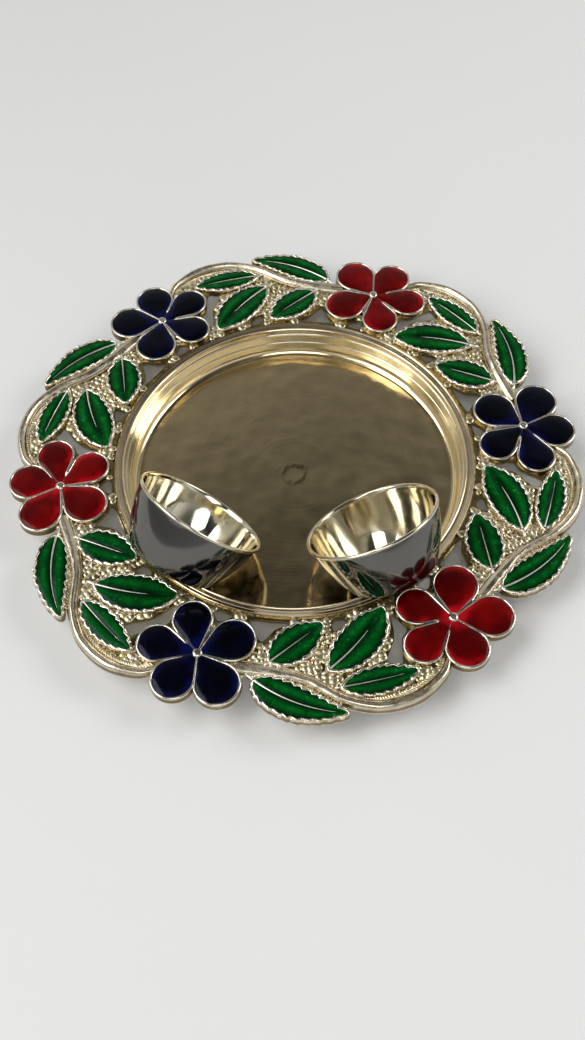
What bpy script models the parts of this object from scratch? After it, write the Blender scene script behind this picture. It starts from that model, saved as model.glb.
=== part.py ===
"""A puja thali: a spun brass dish in an openwork cast border of enamelled flowers and leaves, with two loose bowls.

Metres, +Z up. The origin is on the surface that the thali stands on, under the dish's centre.
"""

import math

import bmesh
import bpy
from mathutils import Matrix, Vector

# Gap that keeps two pieces apart where they touch on the real thali
CLEARANCE = 0.0003

# Dish: spun sheet with a flat floor, a cove, a steep wall, a bead and a flat rim
DISH_LIP_RADIUS = 0.0635
DISH_DEPTH = 0.0108
DISH_SHEET = 0.0009
DISH_RIM_WIDTH = 0.0035
DISH_WALL_LEAN = 0.0019
DISH_COVE_HEIGHT = 0.0031
DISH_COVE_WIDTH = 0.0029
DISH_BEAD_DROP = 0.0022
DISH_BEAD_RADIUS = 0.0004
DISH_SEGMENTS = 48

# Border: one casting, flat below, that the dish's rim rests on
FLOWERS = 6
FIRST_FLOWER_ANGLE = math.radians(125.74)
RING_SHOWING = 0.0016
RING_THICKNESS = 0.0015
WEB_THICKNESS = 0.0022
WEB_RING_LAP = 0.0007
FLOWER_OFFSET = 0.0183

# Enamel cells: the height of their walls above the web, and the walls' widths
PETAL_WALL_HEIGHT = 0.0018
LEAF_WALL_HEIGHT = 0.0016
CELL_WALL = 0.0012
PETAL_DIVIDER = 0.0006
BOSS_RADIUS = 0.0018
BOSS_HEIGHT = 0.0024
BOSS_COLLAR = 0.0004
BOSS_SEGMENTS = 12
ENAMEL_BELOW_WALL = 0.0004
PETAL_DOME = 0.0005
PETAL_DOME_INSET = 0.0014

# Petals: direction in degrees from straight outward, reach of the round end's centre, radius of the round end
PETALS = {
    "a": (54.0, 0.0130, 0.0072),
    "b": (-19.0, 0.0119, 0.0068),
    "c": (-84.5, 0.0144, 0.0063),
    "d": (-148.5, 0.0132, 0.0063),
    "e": (134.0, 0.0127, 0.0072),
}
PETAL_ARC_STEPS = 8

# Leaves: stalk end and tip, each as a distance outside the seat ring and degrees past the flower, then the bend of
# the midrib to the left, half the width, and the widest point's place along the leaf
LEAVES = {
    "a": ((0.0227, 13.3), (0.0351, 31.4), -0.0026, 0.0053, 0.38),
    "b": ((0.0157, 16.2), (0.0021, 29.3), 0.0, 0.0059, 0.47),
    "c": ((0.0191, 29.3), (0.0024, 46.8), -0.0014, 0.0066, 0.51),
    "d": ((0.0259, 31.4), (0.0277, 46.5), -0.0004, 0.0044, 0.48),
}
LEAF_STEPS = 6
LEAF_FULLNESS = 1.5
RIB_END = 0.72
RIB_WIDTH = 0.0006
RIB_ROOT = 0.0004
RIB_BELOW_WALL = 0.0002
RIB_LAP = 0.06
RIB_STEPS = 2

# Branch: places along its centre line, as a distance outside the seat ring and degrees past the flower, the share
# of its full thickness there, and how far the web reaches past the centre line
BRANCH_RADIUS = 0.0020
BRANCH_RISE = 0.0021
BRANCH_COURSE = (
    (0.0188, 8.6, 0.7, 0.0016),
    (0.0191, 17.7, 0.9, 0.0050),
    (0.0222, 24.7, 1.0, 0.0052),
    (0.0299, 31.3, 1.0, 0.0026),
    (0.0349, 37.7, 1.0, 0.0019),
    (0.0358, 44.6, 1.0, 0.0019),
    (0.0328, 50.7, 0.8, 0.0016),
    (0.0286, 53.6, 0.6, 0.0013),
)

# Piercings through the web, as distances outside the seat ring and degrees past the flower
PIERCINGS = {
    "petal": ((0.0004, 9.5), (0.0004, 20.4), (0.0032, 16.7), (0.0082, 13.5), (0.0036, 11.0)),
    "tip": ((0.0006, 35.2), (0.0027, 36.4), (0.0050, 32.5), (0.0014, 32.4)),
    "slot": ((0.0052, 48.4), (0.0122, 49.8), (0.0153, 47.3), (0.0230, 44.8), (0.0211, 41.8), (0.0132, 46.0)),
    "flower": ((0.0004, -1.2), (0.0004, 4.4), (0.0042, 1.0)),
}

# Bowls: a spun cup with a flat foot and a rolled rim
BOWL_RIM_RADIUS = 0.0242
BOWL_HEIGHT = 0.0216
BOWL_FOOT_RADIUS = 0.0165
BOWL_SHEET = 0.0008
BOWL_ROLL_RADIUS = 0.0007
BOWL_FOOT_ROUNDING = 0.0012
BOWL_FULLNESS = 1.64
BOWL_SIDE_STEPS = 5
BOWL_FOOT_STEPS = 2
BOWL_ROLL_STEPS = 3
BOWL_SEGMENTS = 30
BOWL_TEST_STEPS = 8
BOWL_TEST_SPOKES = 240

# How each loose bowl lies: direction from the dish's centre, tilt from level, direction that it tips towards
BOWLS = {
    "left": (-136.0, 51.2, 43.1),
    "right": (-57.5, 38.1, 123.1),
}

# Levels and radii that follow from the sizes above
LIP_HEIGHT = DISH_SHEET + DISH_DEPTH
RIM_RADIUS = DISH_LIP_RADIUS + DISH_RIM_WIDTH
RING_INNER_RADIUS = DISH_LIP_RADIUS + DISH_SHEET + CLEARANCE
RING_RADIUS = RIM_RADIUS + RING_SHOWING
RING_TOP = LIP_HEIGHT - DISH_SHEET - CLEARANCE
CASTING_BASE = RING_TOP - RING_THICKNESS
WEB_TOP = CASTING_BASE + WEB_THICKNESS
PETAL_TOP = WEB_TOP + PETAL_WALL_HEIGHT
LEAF_TOP = WEB_TOP + LEAF_WALL_HEIGHT
FLOWER_RADIUS = RING_RADIUS + FLOWER_OFFSET
SECTOR_ANGLE = 2 * math.pi / FLOWERS


def material(name, colour, roughness, metallic):
    made = bpy.data.materials.new(name)
    made.use_nodes = True
    shader = made.node_tree.nodes["Principled BSDF"]
    shader.inputs["Base Color"].default_value = (*colour, 1.0)
    shader.inputs["Roughness"].default_value = roughness
    shader.inputs["Metallic"].default_value = metallic
    return made


def new_object(name, mesh, look=None):
    made = bpy.data.objects.new(name, mesh)
    bpy.context.scene.collection.objects.link(made)
    if look:
        mesh.materials.append(look)
    return made


def mesh_from(name, form):
    """Turns a bmesh into a mesh with its faces pointing out."""
    bmesh.ops.recalc_face_normals(form, faces=form.faces)
    mesh = bpy.data.meshes.new(name)
    form.to_mesh(mesh)
    form.free()
    return mesh


def combined(name, body, operation, tools):
    """One mesh cut by others or joined to them."""
    target = new_object(name, body)
    group = bpy.data.collections.new(name + "_tools")
    for tool in tools:
        group.objects.link(bpy.data.objects.new(name + "_tool", tool))
    bpy.context.scene.collection.children.link(group)
    step = target.modifiers.new("combined", "BOOLEAN")
    step.operation = operation
    step.solver = "EXACT"
    step.operand_type = "COLLECTION"
    step.collection = group
    bpy.context.view_layer.update()
    evaluated = target.evaluated_get(bpy.context.evaluated_depsgraph_get())
    mesh = bpy.data.meshes.new_from_object(evaluated)
    mesh.name = name
    for used in list(group.objects) + [target]:
        bpy.data.objects.remove(used)
    bpy.data.collections.remove(group)
    return mesh


def polar(radius, degrees):
    angle = math.radians(degrees)
    return Vector((radius * math.cos(angle), radius * math.sin(angle)))


def past_ring(distance, degrees):
    return polar(RING_RADIUS + distance, degrees)


def left_of(direction):
    return Vector((-direction.y, direction.x))


def prism(name, outline, bottom, top):
    """A flat outline raised from one level to another."""
    form = bmesh.new()
    ring = [form.verts.new((point.x, point.y, bottom)) for point in outline]
    floor = form.faces.new(ring)
    raised = bmesh.ops.extrude_face_region(form, geom=[floor])
    moved = [part for part in raised["geom"] if isinstance(part, bmesh.types.BMVert)]
    bmesh.ops.translate(form, verts=moved, vec=(0, 0, top - bottom))
    return mesh_from(name, form)


def turned(name, profile, segments):
    """A profile of (radius, height) pairs turned about Z. Where it meets the axis it closes there."""
    form = bmesh.new()
    points = [form.verts.new((radius, 0, height)) for radius, height in profile]
    pairs = list(zip(points, points[1:]))
    if min(radius for radius, height in profile) > 0:
        pairs.append((points[-1], points[0]))
    edges = [form.edges.new(pair) for pair in pairs]
    bmesh.ops.spin(
        form,
        geom=points + edges,
        cent=(0, 0, 0),
        axis=(0, 0, 1),
        angle=2 * math.pi,
        steps=segments,
        use_merge=True,
    )
    bmesh.ops.remove_doubles(form, verts=form.verts, dist=1e-6)
    mesh = mesh_from(name, form)
    mesh.shade_smooth()
    mesh.set_sharp_from_angle(angle=math.radians(35))
    return mesh


def offset_outline(outline, distance):
    """Moves every side of a closed anticlockwise outline outwards by the same distance."""
    moved = []
    count = len(outline)
    for index, point in enumerate(outline):
        before = (point - outline[index - 1]).normalized()
        after = (outline[(index + 1) % count] - point).normalized()
        normal = -(left_of(before) + left_of(after)).normalized()
        moved.append(point + normal * distance / max(0.5, -normal.dot(left_of(before))))
    return moved


# Petals

def petal_outline(petal, grow, stop):
    """A drop whose sides run straight from its round end to a distance from the flower's centre.

    It is the edge of the petal's cell, moved outwards by grow.
    """
    degrees, reach, radius = PETALS[petal]
    spread = math.asin((radius + PETAL_DIVIDER / 2) / reach)
    centre = Vector((FLOWER_RADIUS, 0)) + polar(reach, degrees)
    start = -(math.pi / 2 + spread)
    points = []
    for step in range(PETAL_ARC_STEPS + 1):
        angle = math.radians(degrees) + start - 2 * start * step / PETAL_ARC_STEPS
        points.append(centre + Vector((math.cos(angle), math.sin(angle))) * (radius + grow))
    run = reach * math.cos(spread) - stop
    for side, edge in ((1, points[-1]), (-1, points[0])):
        towards = math.radians(degrees) + side * spread
        inwards = -Vector((math.cos(towards), math.sin(towards)))
        points.append(edge + inwards * run)
    return points


def petal_enamel_mesh(petal):
    """The enamel that fills a cell, with a low dome and an edge below the cell's wall."""
    outline = petal_outline(petal, -CLEARANCE, BOSS_RADIUS + BOSS_COLLAR + CLEARANCE)
    bottom = WEB_TOP + CLEARANCE
    edge = PETAL_TOP - ENAMEL_BELOW_WALL
    form = bmesh.new()
    floor = form.faces.new([form.verts.new((point.x, point.y, bottom)) for point in outline])
    raised = bmesh.ops.extrude_face_region(form, geom=[floor])["geom"]
    moved = [part for part in raised if isinstance(part, bmesh.types.BMVert)]
    top = [part for part in raised if isinstance(part, bmesh.types.BMFace)]
    bmesh.ops.translate(form, verts=moved, vec=(0, 0, edge - bottom))
    bmesh.ops.recalc_face_normals(form, faces=form.faces)
    bmesh.ops.inset_region(form, faces=top, thickness=PETAL_DOME_INSET)
    bmesh.ops.translate(form, verts=list(top[0].verts), vec=(0, 0, PETAL_DOME))
    return mesh_from("petal_enamel_" + petal, form)


# Leaves

def leaf_midrib(leaf, along):
    """A place on the midrib, and the direction to its left, at a share of the leaf's length."""
    stalk, tip, bend, half_width, widest = LEAVES[leaf]
    start = past_ring(*stalk)
    chord = past_ring(*tip) - start
    across = left_of(chord.normalized())
    place = start + chord * along + across * bend * 4 * along * (1 - along)
    slope = chord + across * bend * 4 * (1 - 2 * along)
    return place, left_of(slope.normalized())


def leaf_half_width(leaf, along):
    """Round at the stalk and drawn to a point at the tip."""
    stalk, tip, bend, half_width, widest = LEAVES[leaf]
    round_end = LEAF_FULLNESS * widest
    sharp_end = LEAF_FULLNESS * (1 - widest)
    peak = widest ** round_end * (1 - widest) ** sharp_end
    return half_width * along ** round_end * (1 - along) ** sharp_end / peak


def leaf_side(leaf, side):
    places = []
    for step in range(1, LEAF_STEPS):
        along = (1 - math.cos(math.pi * step / LEAF_STEPS)) / 2
        place, across = leaf_midrib(leaf, along)
        places.append(place + across * side * leaf_half_width(leaf, along))
    return places


def leaf_outline(leaf, grow):
    stalk, across = leaf_midrib(leaf, 0)
    tip, across = leaf_midrib(leaf, 1)
    outline = [stalk] + leaf_side(leaf, -1) + [tip] + leaf_side(leaf, 1)[::-1]
    return offset_outline(outline, grow)


def rib_outline(leaf, grow):
    """A strip along the midrib, from inside the wall at the stalk to short of the tip."""
    left, right = [], []
    for step in range(RIB_STEPS + 1):
        along = -RIB_LAP + (RIB_LAP + RIB_END) * step / RIB_STEPS
        place, across = leaf_midrib(leaf, along)
        left.append(place + across * (RIB_WIDTH / 2 + grow))
        right.append(place - across * (RIB_WIDTH / 2 + grow))
    tail = (right[-1] - right[-2]).normalized() * grow
    return right[:-1] + [right[-1] + tail, left[-1] + tail] + left[-2::-1]


def leaf_enamel_mesh(leaf):
    """The enamel in a leaf's cell, in two lobes that join past the end of the midrib."""
    bottom = WEB_TOP + CLEARANCE
    top = LEAF_TOP - ENAMEL_BELOW_WALL
    body = prism("leaf_enamel", leaf_outline(leaf, -CLEARANCE), bottom, top)
    slot = prism("leaf_slot", rib_outline(leaf, CLEARANCE), bottom - CLEARANCE, top + CLEARANCE)
    return combined("leaf_enamel_" + leaf, body, "DIFFERENCE", [slot])


# Border

def branch_mesh():
    """A tapered stem that winds from one flower to the next, its upper half standing on the web."""
    curve = bpy.data.curves.new("branch", "CURVE")
    curve.dimensions = "3D"
    curve.resolution_u = 2
    curve.bevel_depth = BRANCH_RADIUS
    curve.bevel_resolution = 1
    curve.use_fill_caps = True
    spline = curve.splines.new("BEZIER")
    spline.bezier_points.add(len(BRANCH_COURSE) - 1)
    for knot, (distance, degrees, thickness, reach) in zip(spline.bezier_points, BRANCH_COURSE):
        place = past_ring(distance, degrees)
        knot.co = (place.x, place.y, 0)
        knot.handle_left_type = "AUTO"
        knot.handle_right_type = "AUTO"
        knot.radius = thickness
    guide = new_object("branch_guide", curve)
    bpy.context.view_layer.update()
    evaluated = guide.evaluated_get(bpy.context.evaluated_depsgraph_get())
    form = bmesh.new()
    form.from_mesh(bpy.data.meshes.new_from_object(evaluated))
    bmesh.ops.remove_doubles(form, verts=form.verts, dist=1e-6)
    bpy.data.objects.remove(guide)
    bmesh.ops.scale(form, verts=form.verts, vec=(1, 1, BRANCH_RISE / BRANCH_RADIUS))
    bmesh.ops.translate(form, verts=form.verts, vec=(0, 0, WEB_TOP))
    return mesh_from("branch", form)


def boss_mesh():
    """The button at a flower's centre."""
    top = WEB_TOP + BOSS_HEIGHT
    shoulder = top - BOSS_RADIUS * 0.4
    profile = [
        (0, WEB_TOP - RIB_ROOT),
        (BOSS_RADIUS, WEB_TOP - RIB_ROOT),
        (BOSS_RADIUS, shoulder),
        (BOSS_RADIUS * 0.6, top),
        (0, top),
    ]
    mesh = turned("boss", profile, BOSS_SEGMENTS)
    mesh.transform(Matrix.Translation((FLOWER_RADIUS, 0, 0)))
    return mesh


def plate_outline():
    """The web's outer edge, under the branches and the flowers' centres."""
    points = []
    for flower in range(FLOWERS):
        turn = math.degrees(SECTOR_ANGLE) * flower
        points.append(past_ring(FLOWER_OFFSET, turn))
        for distance, degrees, thickness, reach in BRANCH_COURSE:
            points.append(past_ring(distance + reach, turn + degrees))
    return points


def around(mesh):
    """Six copies of a mesh, one for each flower."""
    copies = []
    for flower in range(FLOWERS):
        copy = mesh.copy()
        copy.transform(Matrix.Rotation(SECTOR_ANGLE * flower, 4, "Z"))
        copies.append(copy)
    return copies


def border(look):
    hole_radius = RING_RADIUS - WEB_RING_LAP
    hole = turned(
        "hole",
        [(0, 0), (hole_radius, 0), (hole_radius, LIP_HEIGHT), (0, LIP_HEIGHT)],
        DISH_SEGMENTS,
    )
    hole.transform(Matrix.Rotation(math.pi / DISH_SEGMENTS, 4, "Z"))
    cutters = [hole]
    for name, course in PIERCINGS.items():
        outline = [past_ring(distance, degrees) for distance, degrees in course]
        cutters += around(prism(name, outline, 0, LIP_HEIGHT))
    plate = prism("plate", plate_outline(), CASTING_BASE, WEB_TOP)
    web = combined("web", plate, "DIFFERENCE", cutters)

    ring = turned(
        "seat_ring",
        [
            (RING_RADIUS, RING_TOP),
            (RING_RADIUS, CASTING_BASE),
            (RING_INNER_RADIUS, CASTING_BASE),
            (RING_INNER_RADIUS, RING_TOP),
        ],
        DISH_SEGMENTS,
    )
    raised = [ring]
    cells = []
    ribs = []
    above = PETAL_TOP + BOSS_HEIGHT
    for petal in PETALS:
        wall = petal_outline(petal, CELL_WALL, -CELL_WALL / 2)
        cell = petal_outline(petal, 0, BOSS_RADIUS + BOSS_COLLAR)
        raised += around(prism("petal_wall", wall, CASTING_BASE, PETAL_TOP))
        cells += around(prism("petal_cell", cell, WEB_TOP, above))
    for leaf in LEAVES:
        raised += around(prism("leaf_wall", leaf_outline(leaf, CELL_WALL), CASTING_BASE, LEAF_TOP))
        cells += around(prism("leaf_cell", leaf_outline(leaf, 0), WEB_TOP, above))
        ribs += around(prism("rib", rib_outline(leaf, 0), WEB_TOP - RIB_ROOT, LEAF_TOP - RIB_BELOW_WALL))
    raised += around(branch_mesh())
    casting = combined("casting", web, "UNION", raised)
    casting = combined("casting", casting, "DIFFERENCE", cells)
    casting = combined("border_frame", casting, "UNION", ribs + around(boss_mesh()))
    frame = new_object("border_frame", casting, look)
    frame.rotation_euler.z = FIRST_FLOWER_ANGLE
    return frame


def enamels(looks):
    petal_meshes = {petal: petal_enamel_mesh(petal) for petal in PETALS}
    leaf_meshes = {leaf: leaf_enamel_mesh(leaf) for leaf in LEAVES}
    for flower in range(FLOWERS):
        angle = FIRST_FLOWER_ANGLE - SECTOR_ANGLE * flower
        colour = looks["blue"] if flower % 2 == 0 else looks["red"]
        for petal, mesh in petal_meshes.items():
            piece = new_object(f"flower_{flower + 1}_petal_{petal}", mesh.copy(), colour)
            piece.rotation_euler.z = angle
        for leaf, mesh in leaf_meshes.items():
            piece = new_object(f"spray_{flower + 1}_leaf_{leaf}", mesh.copy(), looks["green"])
            piece.rotation_euler.z = angle


# Dish

def dish_inner_radius(height):
    """The radius of the dish's inside at a height over its floor."""
    foot = DISH_LIP_RADIUS - DISH_WALL_LEAN
    if height < DISH_COVE_HEIGHT:
        return foot - DISH_COVE_WIDTH * (1 - height / DISH_COVE_HEIGHT)
    return foot + DISH_WALL_LEAN * (height - DISH_COVE_HEIGHT) / (DISH_DEPTH - DISH_COVE_HEIGHT)


def dish(look):
    bead = DISH_DEPTH - DISH_BEAD_DROP
    inside = [(0, 0)]
    for height in (0, DISH_COVE_HEIGHT, bead - DISH_BEAD_RADIUS):
        inside.append((dish_inner_radius(height), height))
    inside.append((dish_inner_radius(bead) - DISH_BEAD_RADIUS, bead))
    inside.append((dish_inner_radius(bead + DISH_BEAD_RADIUS), bead + DISH_BEAD_RADIUS))
    inside.append((DISH_LIP_RADIUS, DISH_DEPTH))
    inside.append((RIM_RADIUS, DISH_DEPTH))
    outside = [
        (RIM_RADIUS, DISH_DEPTH - DISH_SHEET),
        (DISH_LIP_RADIUS + DISH_SHEET, DISH_DEPTH - DISH_SHEET),
        (dish_inner_radius(DISH_COVE_HEIGHT) + DISH_SHEET, DISH_COVE_HEIGHT),
        (dish_inner_radius(0) + DISH_COVE_WIDTH * DISH_SHEET / DISH_COVE_HEIGHT, -DISH_SHEET),
        (0, -DISH_SHEET),
    ]
    profile = [(radius, height + DISH_SHEET) for radius, height in inside + outside]
    return new_object("dish", turned("dish", profile, DISH_SEGMENTS), look)


# Bowls

def bowl_side(share):
    """A point of the cup's outside, from the foot at 0 to the rim at 1."""
    radius = BOWL_RIM_RADIUS - BOWL_ROLL_RADIUS
    deepest = (1 - (BOWL_FOOT_RADIUS / radius) ** BOWL_FULLNESS) ** (1 / BOWL_FULLNESS)
    depth = deepest * (1 - share)
    return radius * (1 - depth ** BOWL_FULLNESS) ** (1 / BOWL_FULLNESS), BOWL_HEIGHT * share


def bowl_outside():
    """The outer profile from the middle of the foot to the crest of the rolled rim."""
    foot, floor = bowl_side(0)
    first, height = bowl_side(1 / BOWL_SIDE_STEPS)
    slope = math.atan2(height, first - foot)
    start = foot - BOWL_FOOT_ROUNDING * math.tan(slope / 2)
    profile = [(0, 0)]
    for step in range(BOWL_FOOT_STEPS + 1):
        angle = slope * step / BOWL_FOOT_STEPS
        profile.append(
            (start + BOWL_FOOT_ROUNDING * math.sin(angle), BOWL_FOOT_ROUNDING * (1 - math.cos(angle)))
        )
    for step in range(1, BOWL_SIDE_STEPS):
        profile.append(bowl_side(step / BOWL_SIDE_STEPS))
    side = BOWL_RIM_RADIUS - BOWL_ROLL_RADIUS
    for step in range(BOWL_ROLL_STEPS + 1):
        angle = math.pi * (step / BOWL_ROLL_STEPS - 0.5)
        profile.append(
            (
                side + BOWL_ROLL_RADIUS * math.cos(angle),
                BOWL_HEIGHT - BOWL_ROLL_RADIUS * (1 - math.sin(angle)),
            )
        )
    return profile


def bowl_inside():
    profile = []
    for step in range(BOWL_SIDE_STEPS, 0, -1):
        radius, height = bowl_side(step / BOWL_SIDE_STEPS)
        profile.append((radius - BOWL_SHEET, height))
    profile.append((bowl_side(0)[0] - BOWL_SHEET, BOWL_SHEET))
    profile.append((0, BOWL_SHEET))
    return profile


def free_radius(level):
    """How far out a bowl may reach at a level: to the dish's wall, its bead or the border's inner edge."""
    height = level - DISH_SHEET
    if height > DISH_DEPTH + CLEARANCE:
        return RIM_RADIUS if level < PETAL_TOP + CLEARANCE else math.inf
    radius = dish_inner_radius(max(0, min(DISH_DEPTH, height)))
    if abs(height - DISH_DEPTH + DISH_BEAD_DROP) < DISH_BEAD_RADIUS + CLEARANCE:
        radius -= DISH_BEAD_RADIUS
    return radius


def bowl_fits(places, outwards, distance):
    """Whether the bowl, moved out by a distance, stays clear of the dish's wall and of the border."""
    for place in places:
        moved = place + outwards * distance
        if math.hypot(moved.x, moved.y) + CLEARANCE > free_radius(moved.z):
            return False
    return True


def bowl_place(bowl):
    """Lays a bowl with its foot's edge on the dish's floor, and slides it out until it leans on the lip."""
    direction, tilt, towards = (math.radians(value) for value in BOWLS[bowl])
    turn = Matrix.Rotation(towards, 4, "Z") @ Matrix.Rotation(tilt, 4, "Y")
    profile = bowl_outside()
    places = []
    for start, end in zip(profile, profile[1:]):
        for step in range(BOWL_TEST_STEPS):
            radius, height = Vector(start).lerp(Vector(end), step / BOWL_TEST_STEPS)
            for spoke in range(BOWL_TEST_SPOKES):
                angle = 2 * math.pi * spoke / BOWL_TEST_SPOKES
                places.append(turn @ Vector((radius * math.cos(angle), radius * math.sin(angle), height)))
    drop = min(place.z for place in places)
    lift = Vector((0, 0, DISH_SHEET + CLEARANCE - drop))
    places = [place + lift for place in places]
    outwards = Vector((math.cos(direction), math.sin(direction), 0))
    near, far = 0.0, RING_RADIUS
    while far - near > CLEARANCE / 100:
        middle = (near + far) / 2
        if bowl_fits(places, outwards, middle):
            near = middle
        else:
            far = middle
    return Matrix.Translation(lift + outwards * near) @ turn


def bowl(name, look):
    profile = bowl_outside() + bowl_inside()
    piece = new_object("bowl_" + name, turned("bowl_" + name, profile, BOWL_SEGMENTS), look)
    piece.matrix_world = bowl_place(name)
    return piece


def main():
    for old in list(bpy.data.objects):
        bpy.data.objects.remove(old)
    plating = material("pale_gold_plating", (0.82, 0.76, 0.58), 0.22, 1.0)
    brass = material("polished_brass", (0.72, 0.60, 0.33), 0.16, 1.0)
    chrome = material("bright_plating", (0.80, 0.78, 0.70), 0.10, 1.0)
    looks = {
        "red": material("red_enamel", (0.33, 0.01, 0.015), 0.12, 0.0),
        "blue": material("blue_enamel", (0.005, 0.006, 0.07), 0.10, 0.0),
        "green": material("green_enamel", (0.0, 0.14, 0.035), 0.14, 0.0),
    }
    border(plating)
    enamels(looks)
    dish(brass)
    for name in BOWLS:
        bowl(name, chrome)


main()
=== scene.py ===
import math
import random
from math import cos, pi, radians, sin

import bpy
from mathutils import Matrix, Vector, noise


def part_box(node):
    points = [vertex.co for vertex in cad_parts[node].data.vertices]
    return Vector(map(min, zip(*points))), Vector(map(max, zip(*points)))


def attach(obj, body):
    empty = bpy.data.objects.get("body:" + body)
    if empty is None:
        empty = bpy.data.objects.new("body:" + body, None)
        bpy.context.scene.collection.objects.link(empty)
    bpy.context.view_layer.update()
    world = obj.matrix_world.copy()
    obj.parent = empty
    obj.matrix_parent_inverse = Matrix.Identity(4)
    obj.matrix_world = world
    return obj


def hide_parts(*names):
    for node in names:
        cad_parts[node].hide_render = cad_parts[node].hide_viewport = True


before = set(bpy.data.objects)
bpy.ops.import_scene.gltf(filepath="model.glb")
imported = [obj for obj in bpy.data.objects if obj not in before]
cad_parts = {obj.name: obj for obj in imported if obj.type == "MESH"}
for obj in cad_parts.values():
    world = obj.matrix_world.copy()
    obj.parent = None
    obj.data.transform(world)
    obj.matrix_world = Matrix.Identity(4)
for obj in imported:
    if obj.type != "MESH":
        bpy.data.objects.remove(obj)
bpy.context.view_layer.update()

mm = 0.001  # every size below is in millimetres and is turned into metres here

# what the whole thali is laid out on
thali = {
    "flowers": 6,
    "sector": 60,            # degrees from one flower to the next
    "firstFlower": 125.74,   # degrees, and the others follow clockwise
    "ringRadius": 68.6,
    "ringInside": 64.7,
    "flowerRadius": 86.9,
    "castingBase": 9.0,
    # the undersides lie a hair apart, so that no two of them share a plane
    "feet": {"ring": 8.96, "branch": 9.03, "leaf": 9.05, "petal": 9.07, "cell": 9.11, "hub": 9.15},
    "ringTop": 10.5,
    "ground": 11.2,
    "underGlass": 0.05,      # from the ground to the underside of the glass
    "petalTop": 13.0,
    "leafTop": 12.8,
    "lipTop": 11.7,
}


def clearSelection():
    if bpy.context.object and bpy.context.object.mode != "OBJECT":
        bpy.ops.object.mode_set(mode="OBJECT")
    bpy.ops.object.select_all(action="DESELECT")


def pickOnly(piece):
    clearSelection()
    piece.select_set(True)
    bpy.context.view_layer.objects.active = piece


def nameIt(piece, name):
    piece.name = name
    piece.data.name = name
    return piece


# opens the active piece with everything in it picked
def editAll():
    bpy.ops.object.mode_set(mode="EDIT")
    bpy.ops.mesh.select_all(action="SELECT")


# welds what meets, turns the faces outwards and smooths all but the sharp edges
def weld(piece, sharpAngle=45, turnOut=True):
    pickOnly(piece)
    editAll()
    bpy.ops.mesh.remove_doubles(threshold=0.000001)
    bpy.ops.mesh.delete_loose()
    bpy.ops.mesh.select_all(action="SELECT")
    if turnOut:
        bpy.ops.mesh.normals_make_consistent(inside=False)
    bpy.ops.object.mode_set(mode="OBJECT")
    bpy.ops.object.shade_smooth_by_angle(angle=radians(sharpAngle))
    return piece


# names the primitive just added and moves its corners to places in millimetres
def shapeTo(places, name):
    piece = nameIt(bpy.context.object, name)
    piece.data.vertices.foreach_set("co", [value * mm for place in places for value in place])
    piece.data.update()
    return piece


# a grid bent so that its rows follow a course
def rolledSheet(name, rows, sharpAngle=45):
    clearSelection()
    across, along = len(rows[0]) - 1, len(rows) - 1
    bpy.ops.mesh.primitive_grid_add(x_subdivisions=across, y_subdivisions=along, size=0.01)
    return weld(shapeTo([place for row in rows for place in row], name), sharpAngle)


# the same, drawn together in one place at either end
def closedSheet(name, start, rows, end, level, sharpAngle):
    first, last = ([(place.x, place.y, level)] * len(rows[0]) for place in (start, end))
    return rolledSheet(name, [first] + rows + [last], sharpAngle)


# a closed profile of (radius, height) spun round the middle
def spunFrom(name, profile, steps, sharpAngle=40):
    clearSelection()
    bpy.ops.mesh.primitive_circle_add(vertices=len(profile), radius=0.01, fill_type="NOTHING")
    piece = shapeTo([(radius, 0, height) for radius, height in profile], name)
    editAll()
    bpy.ops.mesh.spin(steps=steps, angle=math.tau, center=(0, 0, 0), axis=(0, 0, 1))
    return weld(piece, sharpAngle)


# a flat outline raised from one level to another
def slabFrom(name, outline, bottom, top):
    clearSelection()
    bpy.ops.mesh.primitive_circle_add(vertices=len(outline), radius=0.01, fill_type="NGON")
    piece = shapeTo([(place.x, place.y, bottom) for place in outline], name)
    editAll()
    bpy.ops.mesh.extrude_region_move(TRANSFORM_OT_translate={"value": (0, 0, (top - bottom) * mm)})
    return weld(piece)


# gives every corner a value that the finish reads
def markCorners(piece, name, valueAt):
    layer = piece.data.attributes.new(name, "FLOAT", "POINT")
    for vertex in piece.data.vertices:
        layer.data[vertex.index].value = valueAt(vertex.co / mm)


def copyOf(piece, name):
    twin = piece.copy()
    twin.data = piece.data.copy()
    bpy.context.scene.collection.objects.link(twin)
    return nameIt(twin, name)


def joinAll(pieces, name):
    clearSelection()
    for piece in pieces:
        piece.select_set(True)
    bpy.context.view_layer.objects.active = pieces[0]
    if len(pieces) > 1:
        bpy.ops.object.join()
    return nameIt(bpy.context.object, name)


# turns a piece round the middle of the thali and keeps its object unturned
def turnRound(piece, degrees):
    pickOnly(piece)
    piece.rotation_euler.z = radians(degrees)
    bpy.ops.object.transform_apply(location=False, rotation=True, scale=False)
    return piece


def flowerAngle(flower):
    return thali["firstFlower"] - thali["sector"] * flower


# one sector's pieces joined, repeated for all six and joined again
def sixRound(pieces, name):
    first = joinAll(pieces, name)
    copies = [copyOf(first, name) for flower in range(1, thali["flowers"])]
    for flower, twin in enumerate(copies):
        turnRound(twin, flowerAngle(flower + 1))
    turnRound(first, flowerAngle(0))
    return joinAll([first] + copies, name)


def polar(radius, degrees):
    turn = radians(degrees)
    return Vector((radius * cos(turn), radius * sin(turn)))


def pastRing(distance, degrees):
    return polar(thali["ringRadius"] + distance, degrees)


def directionOf(place):
    return math.degrees(math.atan2(place.y, place.x))


def leftOf(direction):
    return Vector((-direction.y, direction.x))


# a place some way to the side of another, at a level
def beside(place, side, out, level):
    return place.x + side.x * out, place.y + side.y * out, level


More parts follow.
